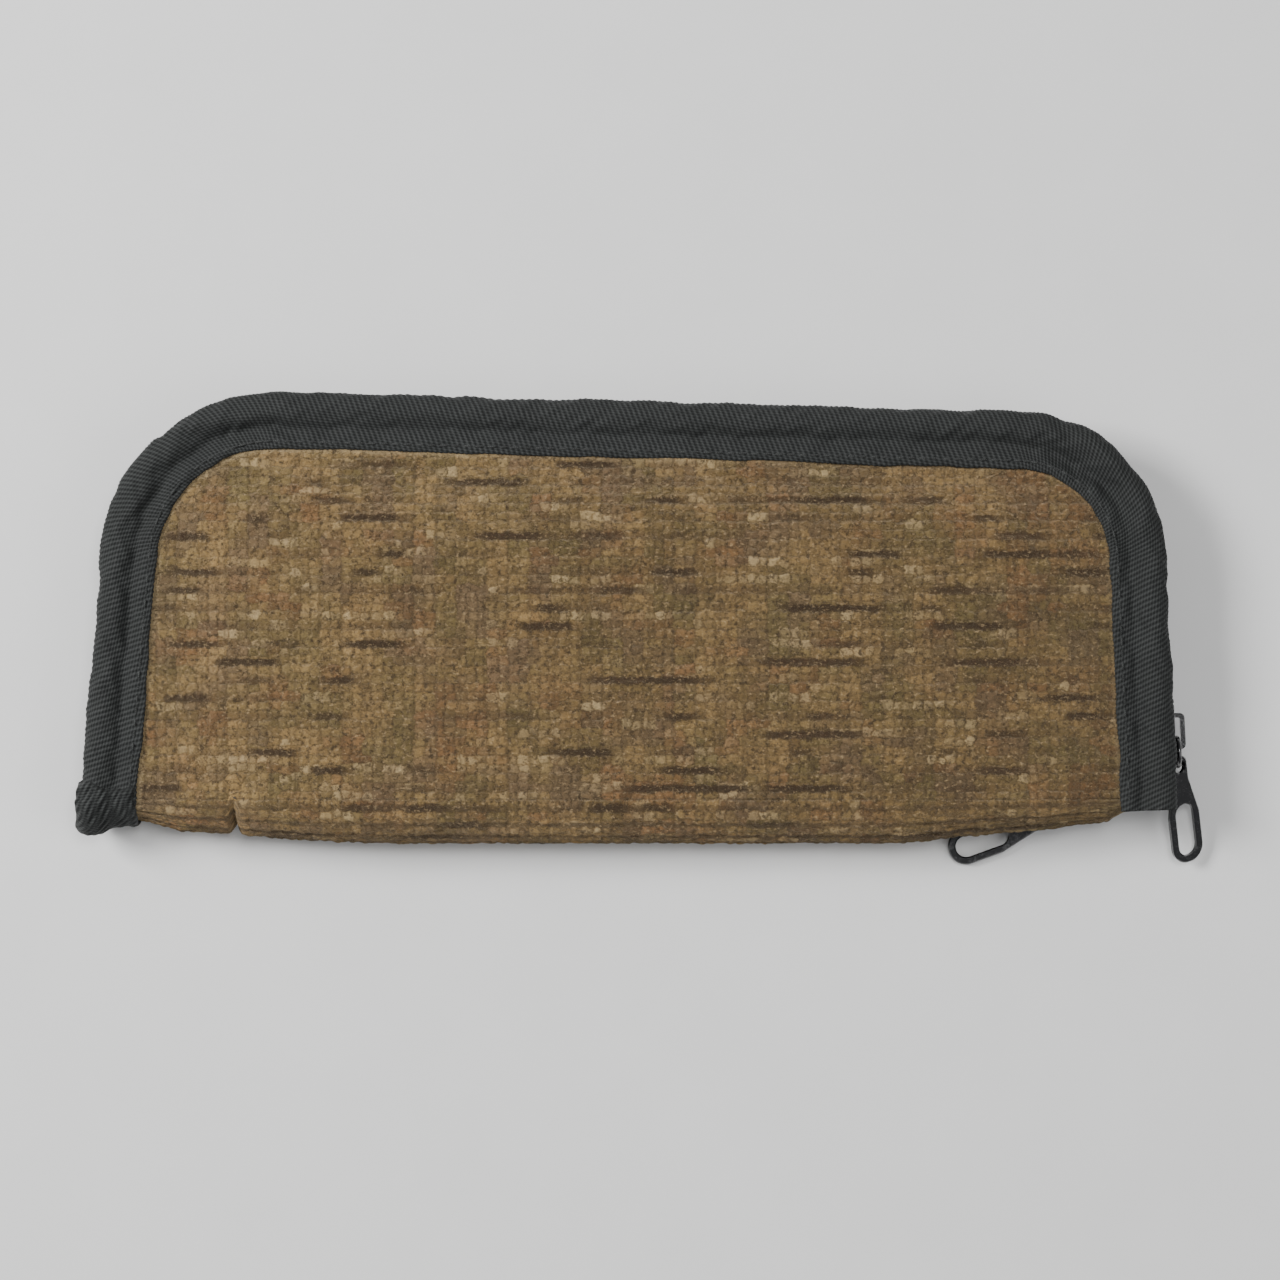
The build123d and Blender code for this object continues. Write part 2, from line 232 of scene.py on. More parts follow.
def fold_reach(x):
    """How far the fold stands out from the spine line, along its length."""
    stations = [-108, -103.5, -97, -84, -77, -64, -51, 60, 66, 73, 86, 92, 99, 105, 108.5, 112]
    reach = [4.4, 5.4, 7.3, 8.0, 8.8, 9.6, 9.9, 9.9, 9.4, 8.4, 7.5, 6.9, 5.8, 5.3, 3.2, 2.6]
    return np.interp(x, stations, reach)


def dart(x):
    """The pinch in the fold near its left end: 0 to 1."""
    return np.exp(-(((x + 84.9) / 0.75) ** 2))


def weave_height(u, v):
    """The chenille's relief, mm: rounded rows, each of plump tufts, with loose pile."""
    v = v + 0.5 * noise(u / 5.0, v / 6.0, 9)
    row = np.floor(v / ROW + 0.5)
    within = v / ROW + 0.5 - row
    swell = 1 + 0.4 * noise(u / 9.0, row * 1.7, 5)
    cord = np.abs(np.sin(math.pi * within)) ** 0.5
    half = np.abs(np.sin(2 * math.pi * within)) ** 0.7
    phase = u / TUFT + 0.9 * noise(u / 7.0, row * 3.1, 6)
    tuft = np.abs(np.sin(math.pi * phase)) ** 0.7
    size = 0.4 + 0.6 * hashed(np.floor(phase), row * 2 + (within > 0.5))
    pile = 0.16 * noise(u / 0.95, v / 0.9, 11) + 0.16 * noise(u / 1.9, v / 1.5, 12)
    return 0.24 * cord * swell + 0.14 * half + 0.24 * tuft * half * size + pile


def cloth_normals(points):
    """Unit normals of a grid of points."""
    du = np.gradient(points, axis=1)
    dv = np.gradient(points, axis=0)
    n = np.cross(du, dv)
    return n / np.maximum(np.linalg.norm(n, axis=2), 1e-9)[:, :, None]


# ---------------------------------------------------------------- materials
class Nodes:
    """Short calls for building a node material."""

    def __init__(self, name):
        self.material = bpy.data.materials.new(name)
        self.material.use_nodes = True
        self.tree = self.material.node_tree
        self.tree.nodes.clear()
        self.out = self.tree.nodes.new("ShaderNodeOutputMaterial")
        self.shader = self.tree.nodes.new("ShaderNodeBsdfPrincipled")
        self.tree.links.new(self.shader.outputs[0], self.out.inputs[0])

    def put(self, socket, value):
        if isinstance(value, bpy.types.NodeSocket):
            self.tree.links.new(value, socket)
        else:
            socket.default_value = value

    def node(self, kind, out=0, settings=None, **inputs):
        n = self.tree.nodes.new(kind)
        for key, value in (settings or {}).items():
            setattr(n, key, value)
        for key, value in inputs.items():
            self.put(n.inputs[key.replace("_", " ")], value)
        return n.outputs[out]

    def math(self, operation, a, b=0.0, c=0.0, clamp=False):
        n = self.tree.nodes.new("ShaderNodeMath")
        n.operation = operation
        n.use_clamp = clamp
        for socket, value in zip(n.inputs, (a, b, c)):
            self.put(socket, value)
        return n.outputs[0]

    def times(self, a, b, clamp=False):
        return self.math("MULTIPLY", a, b, clamp=clamp)

    def plus(self, a, b):
        return self.math("ADD", a, b)

    def minus(self, a, b):
        return self.math("SUBTRACT", a, b)

    def attribute(self, name):
        n = self.tree.nodes.new("ShaderNodeAttribute")
        n.attribute_name = name
        return n.outputs["Vector"]

    def split(self, vector):
        n = self.tree.nodes.new("ShaderNodeSeparateXYZ")
        self.tree.links.new(vector, n.inputs[0])
        return n.outputs[0], n.outputs[1], n.outputs[2]

    def join(self, x, y, z=0.0):
        n = self.tree.nodes.new("ShaderNodeCombineXYZ")
        for socket, value in zip(n.inputs, (x, y, z)):
            self.put(socket, value)
        return n.outputs[0]

    def noise(self, vector, scale, detail=2.0, roughness=0.5):
        return self.node("ShaderNodeTexNoise", 0, None, Vector=vector, Scale=scale, Detail=detail,
                         Roughness=roughness)

    def white(self, vector):
        return self.node("ShaderNodeTexWhiteNoise", 0, {"noise_dimensions": "3D"}, Vector=vector)

    def cells(self, vector, randomness, feature="F1"):
        """Loose cells, one per unit."""
        n = self.tree.nodes.new("ShaderNodeTexVoronoi")
        n.feature = feature
        n.inputs["Scale"].default_value = 1.0
        n.inputs["Randomness"].default_value = randomness
        self.put(n.inputs["Vector"], vector)
        return n

    def mix(self, factor, a, b, blend="MIX"):
        n = self.tree.nodes.new("ShaderNodeMix")
        n.data_type = "RGBA"
        n.blend_type = blend
        self.put(n.inputs[0], factor)
        self.put(n.inputs[6], a if isinstance(a, bpy.types.NodeSocket) else (*a, 1.0))
        self.put(n.inputs[7], b if isinstance(b, bpy.types.NodeSocket) else (*b, 1.0))
        return n.outputs[2]

    def shaded(self, colour, factor):
        """The colour times a number."""
        return self.mix(1.0, colour, self.join(factor, factor, factor), "MULTIPLY")

    def spread(self, vector, scale, detail, roughness, width):
        """Noise about zero, width from end to end."""
        return self.times(self.minus(self.noise(vector, scale, detail, roughness), 0.5), width)

    def ramp(self, value, low, high):
        """0 below low, 1 above high, smooth between."""
        return self.node("ShaderNodeMapRange", 0, {"interpolation_type": "SMOOTHSTEP"}, Value=value,
                         From_Min=low, From_Max=high, To_Min=0.0, To_Max=1.0)

    def bump(self, height, distance, strength=1.0):
        result = self.node("ShaderNodeBump", 0, None, Height=height, Distance=distance,
                           Strength=strength)
        self.tree.links.new(result, self.shader.inputs["Normal"])

    def set(self, **values):
        for key, value in values.items():
            self.put(self.shader.inputs[key.replace("_", " ")], value)


def chenille_material():
    """Brown tapestry chenille. The attribute gives the cloth's u and v and the way in from its rim."""
    m = Nodes("chenille")
    u, v, rim = m.split(m.attribute("weave"))
    # the weave's coordinates wander, and jag at the scale of single fibres
    sway = m.spread(m.join(u, v), 0.42, 3.0, 0.6, 2.2)
    rise = m.spread(m.join(v, u, 8.0), 0.5, 3.0, 0.6, 1.5)
    jag_u = m.spread(m.join(u, v, 31.0), 1.5, 4.0, 0.7, 1.5)
    jag_v = m.spread(m.join(u, v, 37.0), 1.5, 4.0, 0.7, 1.3)
    u2 = m.plus(u, m.plus(sway, jag_u))
    v2 = m.plus(v, m.plus(rise, jag_v))

    # plump tufts: one loose cell each, whose centre its colours are read from
    cells = m.join(m.math("DIVIDE", u2, TUFT), m.math("DIVIDE", v2, ROW / 2))
    tufts = m.cells(cells, 0.42)
    edge = m.cells(cells, 0.42, "DISTANCE_TO_EDGE").outputs[0]
    middle_x, middle_y, _ = m.split(tufts.outputs["Position"])
    middle_y = m.times(middle_y, 0.5)
    shade_of, _, _ = m.split(tufts.outputs["Color"])
    column = m.math("FLOOR", m.times(middle_x, TUFT / WARP))
    row = m.math("FLOOR", middle_y)
    half_row = m.math("FLOOR", m.times(middle_y, 2.0))

    # broad patches of tan, olive, taupe and rust, stepped by the weave's cells
    across = m.plus(m.times(middle_x, 0.035), m.times(column, 0.14))
    along = m.times(middle_y, 0.15)
    patch = m.noise(m.join(across, along), 1.7, 3.0, 0.65)
    cool = m.noise(m.join(across, along, 7.3), 2.3, 2.0, 0.6)
    warm = m.noise(m.join(across, along, 17.1), 2.6, 2.0, 0.6)
    tan, olive = (0.258, 0.163, 0.063), (0.140, 0.103, 0.038)
    taupe, rust = (0.140, 0.090, 0.048), (0.195, 0.098, 0.040)
    colour = m.mix(m.ramp(patch, 0.34, 0.62), olive, tan)
    colour = m.mix(m.times(m.ramp(warm, 0.52, 0.68), 0.85), colour, rust)
    colour = m.mix(m.times(m.ramp(cool, 0.50, 0.66), 0.85), colour, taupe)
    tone = m.plus(0.88, m.times(m.white(m.join(column, row, 1.0)), 0.22))
    stripe = m.join(m.times(column, 0.23), m.times(row, 0.035), 21.0)
    band = m.noise(stripe, 1.6, 2.0, 0.6)
    tone = m.times(tone, m.plus(0.55, m.times(band, 0.95)))
    shade = m.times(tone, m.plus(0.80, m.times(shade_of, 0.40)))
    colour = m.shaded(colour, shade)

    # painted light: a warmer, lighter end on the left, where the light falls, and a darker one on the
    # right
    light_falloff = m.plus(1.0, m.times(u, -0.0016))
    colour = m.shaded(colour, light_falloff)

    # cream runs of a few tufts
    run = m.noise(m.join(m.times(middle_x, 0.20), m.times(half_row, 3.7), 4.0), 1.0, 1.0)
    cream = m.times(m.ramp(run, 0.58, 0.68), m.plus(0.22, m.times(shade_of, 0.6)))
    colour = m.mix(m.times(cream, m.ramp(edge, 0.0, 0.16)), colour, (0.50, 0.365, 0.185))

    # dark brown dashes lie between the rows, with ragged ends, among fainter streaks
    line = m.math("ROUND", m.plus(m.math("DIVIDE", v2, ROW), 0.5))
    gap = m.math("ABSOLUTE", m.minus(m.plus(m.math("DIVIDE", v2, ROW), 0.5), line))
    dash = m.noise(m.join(m.times(u2, 0.047), m.times(line, 5.3), 2.0), 1.0, 1.0, 0.45)
    ragged = m.noise(m.join(u, m.times(v, 2.0), 12.0), 1.6, 3.0, 0.65)
    reach = m.plus(m.times(m.minus(ragged, 0.5), 0.30), gap)
    dash = m.times(m.ramp(dash, 0.54, 0.64), m.ramp(reach, 0.30, 0.12))
    colour = m.mix(m.times(dash, 0.95), colour, (0.022, 0.010, 0.006))
    streak = m.noise(m.join(m.times(u2, 0.03), m.times(line, 7.7), 6.0), 1.0, 2.0)
    streak = m.times(m.ramp(streak, 0.48, 0.62), m.ramp(reach, 0.34, 0.08))
    colour = m.mix(m.times(streak, 0.45), colour, (0.060, 0.032, 0.018))

    # gaps between the tufts and the warp's fine lines sink into shadow
    warp_at = m.math("ABSOLUTE", m.minus(m.math("FRACT", m.math("DIVIDE", u2, WARP)), 0.5))
    warp = m.times(m.ramp(warp_at, 0.39, 0.48), 0.42)
    groove = m.times(m.ramp(edge, 0.24, 0.0), m.times(m.ramp(ragged, 0.30, 0.60), 0.72))
    groove = m.times(groove, m.minus(1.0, m.times(cream, 0.7)))
    colour = m.mix(m.math("MAXIMUM", groove, warp), colour, (0.036, 0.023, 0.012))

    # near the fold the rows close up, and the gaps between them are painted dark as shade
    low = m.ramp(m.math("ABSOLUTE", v), 19.0, 11.0)
    fold_gap_shade = m.times(m.times(low, 0.62), m.ramp(reach, 0.22, 0.04))
    colour = m.mix(fold_gap_shade, colour, (0.036, 0.022, 0.012))

    # cut pile stands up pale along the binding, most of all at the left
    shaggy = m.plus(rim, m.times(ragged, 3.4))
    leftward = m.plus(0.25, m.times(m.ramp(u, 20.0, -95.0), 0.45))
    pale = m.times(m.ramp(shaggy, 2.9, 1.7), leftward)
    colour = m.mix(pale, colour, (0.44, 0.33, 0.18))

    # the pile's own fuzz, stray light fibres, and small pits in the pile painted dark as shade
    fuzz = m.noise(m.join(u, v), 1.5, 6.0, 0.8)
    fleck = m.noise(m.join(u, m.times(v, 1.4), 3.0), 0.95, 4.0, 0.75)
    pile_pit_shade = m.noise(m.join(u, v, 9.0), 0.8, 4.0, 0.75)
    colour = m.mix(m.times(m.ramp(fleck, 0.54, 0.68), 0.68), colour, (0.44, 0.31, 0.16))
    colour = m.mix(m.times(m.ramp(pile_pit_shade, 0.52, 0.64), 0.85), colour, (0.040, 0.025, 0.013))
    grain = m.plus(0.05, m.times(fuzz, 1.9))
    colour = m.shaded(colour, grain)
    m.set(Base_Color=colour, Sheen_Weight=0.3, Sheen_Roughness=0.45, Sheen_Tint=(0.9, 0.72, 0.48, 1.0))
    m.set(Roughness=m.plus(0.82, m.times(fuzz, 0.15)), Specular_IOR_Level=0.12)
    plump = m.times(m.ramp(edge, 0.0, 0.40), 0.6)
    m.bump(m.plus(plump, m.plus(fuzz, m.times(fleck, 1.5))), 0.0008, 1.0)
    return m.material


def twill_material(name, colour_low, colour_high, rib, slant, lift=1.0):
    """A ribbed tape: the attribute runs along the tape and across it, in mm."""
    m = Nodes(name)
    s, w, _ = m.split(m.attribute("tape"))
    ridge = m.math("DIVIDE", m.plus(s, m.times(w, slant)), rib)
    wave = m.plus(0.5, m.times(m.math("SINE", m.times(ridge, 2 * math.pi)), 0.5))
    across = m.times(m.plus(w, m.times(s, 0.12)), 2 * math.pi / 0.62)
    stitch = m.plus(0.5, m.times(m.math("SINE", across), 0.5))
    fibre = m.noise(m.join(m.times(s, 2.2), m.times(w, 1.0)), 2.2, 4.0, 0.65)
    worn = m.noise(m.join(s, w, 5.0), 0.12, 3.0, 0.6)
    weave = m.plus(m.times(wave, 0.62), m.times(stitch, 0.38))
    light = m.times(weave, m.plus(0.55, m.times(fibre, 0.9)), clamp=True)
    colour = m.mix(light, colour_low, colour_high)
    age = m.plus(0.78, m.times(worn, 0.44))
    colour = m.shaded(colour, age)
    m.set(Base_Color=colour, Sheen_Weight=0.05, Sheen_Roughness=0.4, Specular_IOR_Level=0.22)
    m.set(Roughness=m.minus(0.86, m.times(weave, 0.24)))
    m.bump(m.plus(weave, m.times(fibre, 0.35)), 0.00022 * lift, 0.9)
    return m.material


def enamel_material():
    """Glossy black enamel with small worn chips, on the sliders, links, pulls and stops."""
    m = Nodes("black_enamel")
    place = m.node("ShaderNodeTexCoord", 3)
    chips = m.noise(place, 900.0, 4.0, 0.7)
    orange = m.noise(place, 2600.0, 2.0, 0.5)
    colour = m.mix(m.ramp(chips, 0.68, 0.74), (0.006, 0.006, 0.007), (0.055, 0.045, 0.036))
    m.set(Base_Color=colour, Metallic=0.35, Specular_IOR_Level=0.6, Coat_Weight=1.0, Coat_Roughness=0.05)
    m.set(Roughness=m.plus(0.16, m.times(m.ramp(chips, 0.45, 0.72), 0.3)))
    m.bump(orange, 0.00004, 0.5)
    return m.material


def coil_material():
    """Black nylon wire."""
    m = Nodes("zipper_coil")
    place = m.node("ShaderNodeTexCoord", 3)
    scuff = m.noise(place, 1400.0, 3.0, 0.6)
    colour = m.mix(scuff, (0.012, 0.012, 0.013), (0.034, 0.034, 0.036))
    m.set(Base_Color=colour, Specular_IOR_Level=0.5)
    m.set(Roughness=m.plus(0.3, m.times(scuff, 0.25)))
    m.bump(scuff, 0.00005, 0.4)
    return m.material


def lining_material():
    """Dark plain-woven lining."""
    m = Nodes("lining")
    u, v, _ = m.split(m.attribute("weave"))
    thread_u = m.math("SINE", m.times(u, 2 * math.pi / 0.75))
    thread_v = m.math("SINE", m.times(v, 2 * math.pi / 0.75))
    weave = m.plus(0.5, m.times(m.times(thread_u, thread_v), 0.5))
    worn = m.noise(m.join(u, v), 0.08, 4.0, 0.6)
    fibre = m.noise(m.join(u, v, 2.0), 2.6, 3.0, 0.6)
    light = m.times(weave, m.plus(0.45, fibre), clamp=True)
    colour = m.mix(light, (0.016, 0.016, 0.018), (0.052, 0.051, 0.054))
    age = m.plus(0.7, m.times(worn, 0.6))
    colour = m.shaded(colour, age)
    m.set(Base_Color=colour, Sheen_Weight=0.12, Specular_IOR_Level=0.3)
    m.set(Roughness=m.plus(0.7, m.times(fibre, 0.2)))
    m.bump(m.plus(weave, m.times(fibre, 0.4)), 0.00012, 0.8)
    return m.material


def plain_tape_material():
    """The woven tape on CAD pieces, in metres of their own space."""
    m = Nodes("zipper_tape_plain")
    x, y, z = m.split(m.node("ShaderNodeTexCoord", 3))
    across = m.math("SINE", m.times(m.plus(x, z), 2 * math.pi / 0.0008))
    along = m.math("SINE", m.times(m.minus(z, y), 2 * math.pi / 0.0007))
    weave = m.plus(0.5, m.times(m.times(across, along), 0.5))
    colour = m.mix(weave, (0.010, 0.010, 0.011), (0.040, 0.040, 0.043))
    m.set(Base_Color=colour, Specular_IOR_Level=0.3, Sheen_Weight=0.08)
    m.set(Roughness=m.minus(0.86, m.times(weave, 0.2)))
    m.bump(weave, 0.00012, 0.8)
    return m.material


def floor_material():
    m = Nodes("floor")
    place = m.node("ShaderNodeTexCoord", 3)
    mottle = m.noise(place, 35.0, 4.0, 0.6)
    colour = m.mix(mottle, (0.66, 0.66, 0.655), (0.72, 0.72, 0.715))
    m.set(Base_Color=colour, Roughness=0.85, Specular_IOR_Level=0.2)
    return m.material


CHENILLE = chenille_material()
BINDING_TAPE = twill_material(
    "binding_tape", (0.0048, 0.0053, 0.0051), (0.033, 0.0355, 0.0343), rib=1.12, slant=0.42)
SEAM_THREAD = twill_material(
    "seam_thread", (0.012, 0.013, 0.0125), (0.060, 0.063, 0.061), rib=0.45, slant=0.8)
ZIP_TAPE = twill_material(
    "zipper_tape", (0.010, 0.010, 0.011), (0.042, 0.042, 0.045), rib=0.8, slant=1.0, lift=0.6)
ENAMEL = enamel_material()
COIL = coil_material()
LINING = lining_material()
ZIP_PLAIN = plain_tape_material()


# ---------------------------------------------------------------- padded panels
def puff(nx, ny):
    """The crown that a pressed cushion of this plan takes, 0 to 1, by Blender's cloth.

    A flat sheet pinned at its rim is blown up and its height read back on an nx by ny grid.
    """
    columns, rows = 45, 19
    half_length, bottom, top = 0.107, -0.0395, 0.0365  # m
    mesh = bpy.data.meshes.new("crown")
    xs = np.linspace(-half_length, half_length, columns)
    ys = np.linspace(bottom, top, rows)
    points = [(x, y, 0.0) for y in ys for x in xs]
    mesh.from_pydata(points, [], grid_faces(rows, columns))
    sheet = bpy.data.objects.new("crown", mesh)
    bpy.context.collection.objects.link(sheet)
    pins = sheet.vertex_groups.new(name="rim")
    for i, (x, y, _) in enumerate(points):
        in_corner = abs(x) > 0.085 and y > 0.015
        outside = in_corner and math.hypot(abs(x) - 0.085, y - 0.015) > 0.0215
        if abs(x) > half_length - 0.0005 or y > top - 0.0005 or outside:
            pins.add([i], 1.0, "REPLACE")
        elif y < bottom + 0.0001:  # the fold's side gives a little
            pins.add([i], 0.6, "REPLACE")
    cloth = sheet.modifiers.new("cloth", "CLOTH")
    cloth.settings.quality = 6
    cloth.settings.mass = 0.25
    cloth.settings.tension_stiffness = 25
    cloth.settings.compression_stiffness = 25
    cloth.settings.bending_stiffness = 1.5
    cloth.settings.vertex_group_mass = "rim"
    cloth.settings.use_pressure = True
    cloth.settings.uniform_pressure_force = 4.0
    cloth.settings.effector_weights.gravity = 0.0
    cloth.point_cache.frame_start, cloth.point_cache.frame_end = 1, 20
    for step in range(1, 21):
        bpy.context.scene.frame_set(step)
    settled = sheet.evaluated_get(bpy.context.evaluated_depsgraph_get())
    z = np.array([p.co.z for p in settled.data.vertices]).reshape(rows, columns)
    bpy.context.scene.frame_set(1)
    bpy.data.objects.remove(sheet)
    z = np.abs(z) / max(np.abs(z).max(), 1e-6)
    gx = np.linspace(0, columns - 1, nx)
    gy = np.linspace(0, rows - 1, ny)
    ix, iy = np.minimum(gx.astype(int), columns - 2), np.minimum(gy.astype(int), rows - 2)
    fx, fy = gx - ix, (gy - iy)[:, None]
    low = z[iy][:, ix] * (1 - fx) + z[iy][:, ix + 1] * fx
    high = z[iy + 1][:, ix] * (1 - fx) + z[iy + 1][:, ix + 1] * fx
    return low * (1 - fy) + high * fy


PANEL_X = np.arange(-110.0, 112.01, GRID)
PANEL_Y = np.arange(SPINE_Y, 40.01, GRID)
CROWN = puff(len(PANEL_X), len(PANEL_Y))
FOLD_ROWS = 60
LIP_ROWS = 30
HALF_GIRTH = 15.2  # cloth from the fold's middle to the spine line


def panel_surface():
    """The back panel's bare outer face: points and the cloth's own coordinates."""
    x, y = np.meshgrid(PANEL_X, PANEL_Y)
    lift = None
    if CROWN is not None:
        lift = 0.16 * (CROWN - 0.72) * smooth((y - SPINE_Y) / 14.0) * smooth((36.0 - y) / 10.0)
    z = panel_height(x, y, lift)
    z = z - 0.13 * noise(x / 26.0, y / 17.0, 2) * smooth((y - SPINE_Y) / 8.0)
    # shallow drag lines that lead from the dart up to the right
    lead = (y - SPINE_Y) * 0.42 - (x + 84.0)
    z = z + 0.45 * np.exp(-((lead / 2.2) ** 2)) * smooth(1 - (y - SPINE_Y) / 13.0)
    rim = edge_inset(x, y) - BINDING
    return np.stack([x, y, z], axis=2), np.stack([x, HALF_GIRTH + (y - SPINE_Y), rim], axis=2)


def fold_surface(columns, start, end, rows):
    """The fold's bare outer face from turn start to turn end: 0 is under, 1 is on top."""
    turn = np.linspace(start, end, rows)[:, None]
    x = np.broadcast_to(columns[None, :], (rows, len(columns)))
    angle = turn * math.pi
    high = MID_Z - panel_height(x, SPINE_Y + 0 * x)
    reach = fold_reach(x)
    pinch = dart(x) * np.sin(angle) ** 0.5
    # the padding presses the fold squarer than a round, and a crease runs beside each row
    y = SPINE_Y - reach * np.abs(np.sin(angle)) ** 0.9 + 3.0 * pinch
    z = MID_Z - high * np.sign(np.cos(angle)) * np.abs(np.cos(angle)) ** 0.95
    z = z + (0.9 * pinch) * np.where(turn < 0.5, 1, -1)
    v = (turn - 0.5) * 2 * HALF_GIRTH
    rim = np.minimum(x - side_x(SPINE_Y, False), side_x(SPINE_Y, True) - x) - BINDING
    return np.stack([x, y, z], axis=2), np.stack([x, v + 0 * x, rim], axis=2)


def raise_pile(points, weave, out_sign, fade=None):
    """Lifts the bare cloth by its weave, along its normal."""
    normal = cloth_normals(points) * out_sign
    height = weave_height(weave[:, :, 0], weave[:, :, 1]) - PILE
    if fade is not None:
        height = height * fade
    raised = points + normal * height[:, :, None]
    raised[:, :, 2] = np.maximum(raised[:, :, 2], 0.02)  # pressed flat where it rests
    return raised


def trimmed(points, weave, keep_quads, name, material, flip):
    """A piece from a grid of points, keeping only some of its quads."""
    rows, columns = points.shape[:2]
    quads = []
    for i in range(rows - 1):
        base = i * columns
        for j in np.flatnonzero(keep_quads[i]):
            a = base + int(j)
            quad = (a, a + 1, a + 1 + columns, a + columns)
            quads.append(quad[::-1] if flip else quad)
    used = np.unique(np.array(quads))
    renumber = np.full(rows * columns, -1)
    renumber[used] = np.arange(len(used))
    quads = [tuple(int(renumber[k]) for k in q) for q in quads]
    piece = mesh_piece(name, points.reshape(-1, 3)[used], quads, material)
    store(piece, "weave", weave.reshape(-1, weave.shape[2])[used])
    return piece


def close_under(piece, depth, backing=None):
    """Closes a panel or fold's open side with a wall and a bottom depth away from its face."""
    mod = piece.modifiers.new("thickness", "SOLIDIFY")
    if backing:
        piece.data.materials.append(backing)
        mod.material_offset = 1
    mod.thickness = depth * MM
    mod.offset = -1.0
    mod.use_rim = True
    bpy.context.view_layer.objects.active = piece
    with bpy.context.temp_override(object=piece, active_object=piece):
        bpy.ops.object.modifier_apply(modifier=mod.name)


def make_panel(side):
    """One half's padded panel; the front is the back's mirror image."""
    points, cloth = panel_surface()
    x, y = points[:-1, :-1, 0] + GRID / 2, points[:-1, :-1, 1] + GRID / 2
    keep = edge_inset(x, y) > BINDING - 1.8  # its edge is under the binding
    if side == "front":
        points[:, :, 2] = 2 * MID_Z - points[:, :, 2]
    else:
        cloth[:, :, 1] = -cloth[:, :, 1]
        keep &= ~((x > 89.5) & (y < -34.2))  # notched for the zipper's tail
    points = raise_pile(points, cloth, 1 if side == "front" else -1)
    name = side + "_chenille_panel"
    piece = trimmed(points, cloth, keep, name, CHENILLE, side == "back")
    close_under(piece, 0.5, LINING)
    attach(piece, side)
    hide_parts(side + "_outer_fabric", side + "_foam")


def make_lip(side):
    """The fold's cloth past the slit: the front lip curls over the zipper's tail."""
    if side == "front":
        end, low, high = 110.0, 0.52, 1.0
    else:
        end, low, high = 90.0, 0.0, 0.30
    columns = np.arange(SLIT_X - 0.3, end, GRID)
    points, cloth = fold_surface(columns, low, high, LIP_ROWS)
    fade = 1 - 0.5 * smooth((columns - 107.0) / 3.0)[None, :]
    points = raise_pile(points, cloth, 1, fade)
    keep = np.ones((points.shape[0] - 1, points.shape[1] - 1), bool)
    name = side + "_chenille_lip"
    piece = trimmed(points, cloth, keep, name, CHENILLE, False)
    close_under(piece, 0.8, LINING)
    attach(piece, side)


def make_fold():
    """The cloth round the fold, the case's live hinge."""
    columns = np.arange(-107.0, SLIT_X + 0.01, 0.5)
    points, weave = fold_surface(columns, 0.0, 1.0, FOLD_ROWS)
    points = raise_pile(points, weave, 1)
    keep = np.ones((points.shape[0] - 1, points.shape[1] - 1), bool)
    piece = trimmed(points, weave, keep, "chenille_fold", CHENILLE, False)
    close_under(piece, 0.6, LINING)
    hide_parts("fold_outer_fabric", "fold_foam")
    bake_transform(piece)


# ---------------------------------------------------------------- bindings
# The folded tape's section: (inset from the edge, height above the rim's middle)
TAPE_SECTION = (
    (12.6, 0.95), (12.4, 1.25), (11.4, 1.42), (10.2, 1.40), (9.2, 1.20), (8.2, 0.92), (7.3, 1.02),
    (6.3, 1.62), (5.2, 2.12), (4.0, 2.36), (2.8, 2.28), (1.7, 1.86), (0.8, 1.15), (0.25, 0.30),
    (0.15, -0.55), (0.7, -1.25), (1.8, -1.58), (3.6, -1.62), (6.0, -1.60), (9.0, -1.60),
    (11.6, -1.60), (12.5, -1.45), (12.4, -0.85), (11.0, -0.70), (8.0, -0.6), (10.0, 0.1),
    (12.0, 0.45),
)
TAPE_POINTS = 96


def dense_profile():
    """The section at even steps, with the tape's width coordinate."""
    closed = np.array(TAPE_SECTION + TAPE_SECTION[:1])
    run = np.concatenate([[0], np.cumsum(np.linalg.norm(np.diff(closed, axis=0), axis=1))])
    t = np.linspace(0, run[-1], TAPE_POINTS + 1)[:-1]
    return np.stack([np.interp(t, run, closed[:, k]) for k in (0, 1)], axis=1), t


def binding_relief(s, w, total):
    """Ribs, wrinkles and the long furrow's ripples, mm."""
    corner = bend(s, total)
    slant = 0.42 + 0.9 * noise(s / 60.0, 0 * s, 21)
    ribs = 0.10 * np.sin(2 * math.pi * (s + slant * w) / 1.12)
    drag = 0.30 + 0.55 * corner
    wrinkle = drag * 0.75 * noise((s + 1.5 * w) / 4.6, w / 3.6, 22)
    ripple = 0.22 * noise((s - 1.2 * w) / 2.4, w / 2.6, 23)
    outer = smooth(w / 2.0) * smooth((19.0 - w) / 3.0)
    return (ribs + (wrinkle + ripple) * outer) * smooth((17.5 - w) / 2.0)


